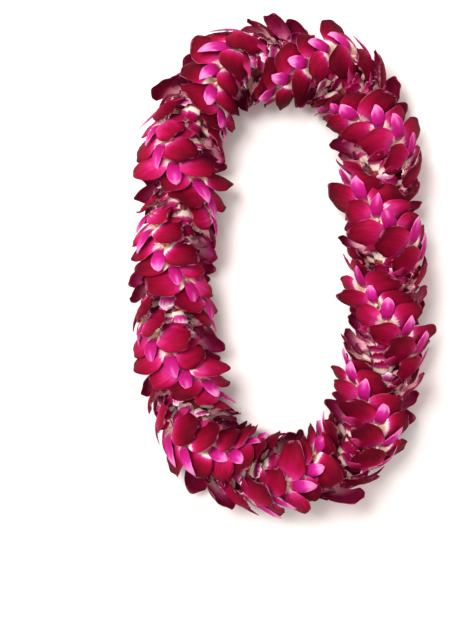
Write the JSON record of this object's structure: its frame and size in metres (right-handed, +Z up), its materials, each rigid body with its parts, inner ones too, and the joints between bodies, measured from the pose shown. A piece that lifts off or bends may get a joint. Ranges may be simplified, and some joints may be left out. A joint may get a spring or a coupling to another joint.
{
  "type": "fresh flower lei",
  "caption": "Closed flower lei that lies flat in a long oval: crimson and pink orchid blooms packed all round a thread that is knotted into a loop.",
  "frame": {"origin": "centre of the bounding box's underside, on the surface that the lei lies on, inside the ring's hole", "axes": "+Y along the ring's long way, towards the top of the picture; +X across it; +Z up"},
  "size_m": [0.2869, 0.4737, 0.0797],
  "materials": {
    "orchid_petals": "satin, softly velvety fresh petals, crimson with pink sepals and cream throats",
    "cotton_thread": "matt undyed cotton thread"
  },
  "bodies": {
    "root": {"thread": "cotton_thread", "bloom_whorl_01": "orchid_petals", "bloom_whorl_02": "orchid_petals", "bloom_whorl_03": "orchid_petals", "bloom_whorl_04": "orchid_petals", "bloom_whorl_05": "orchid_petals", "bloom_whorl_06": "orchid_petals", "bloom_whorl_07": "orchid_petals", "bloom_whorl_08": "orchid_petals", "bloom_whorl_09": "orchid_petals", "bloom_whorl_10": "orchid_petals", "bloom_whorl_11": "orchid_petals", "bloom_whorl_12": "orchid_petals", "bloom_whorl_13": "orchid_petals", "bloom_whorl_14": "orchid_petals", "bloom_whorl_15": "orchid_petals", "bloom_whorl_16": "orchid_petals", "bloom_whorl_17": "orchid_petals", "bloom_whorl_18": "orchid_petals", "bloom_whorl_19": "orchid_petals", "bloom_whorl_20": "orchid_petals", "bloom_whorl_21": "orchid_petals", "bloom_whorl_22": "orchid_petals", "bloom_whorl_23": "orchid_petals", "bloom_whorl_24": "orchid_petals", "bloom_whorl_25": "orchid_petals", "bloom_whorl_26": "orchid_petals", "bloom_whorl_27": "orchid_petals", "bloom_whorl_28": "orchid_petals", "bloom_whorl_29": "orchid_petals", "bloom_whorl_30": "orchid_petals", "bloom_whorl_31": "orchid_petals", "bloom_whorl_32": "orchid_petals", "bloom_whorl_33": "orchid_petals", "bloom_whorl_34": "orchid_petals", "bloom_whorl_35": "orchid_petals", "bloom_whorl_36": "orchid_petals", "bloom_whorl_37": "orchid_petals", "bloom_whorl_38": "orchid_petals", "bloom_whorl_39": "orchid_petals", "bloom_whorl_40": "orchid_petals", "bloom_whorl_41": "orchid_petals", "bloom_whorl_42": "orchid_petals", "bloom_whorl_43": "orchid_petals", "bloom_whorl_44": "orchid_petals", "bloom_whorl_45": "orchid_petals"}
  },
  "joints": []
}
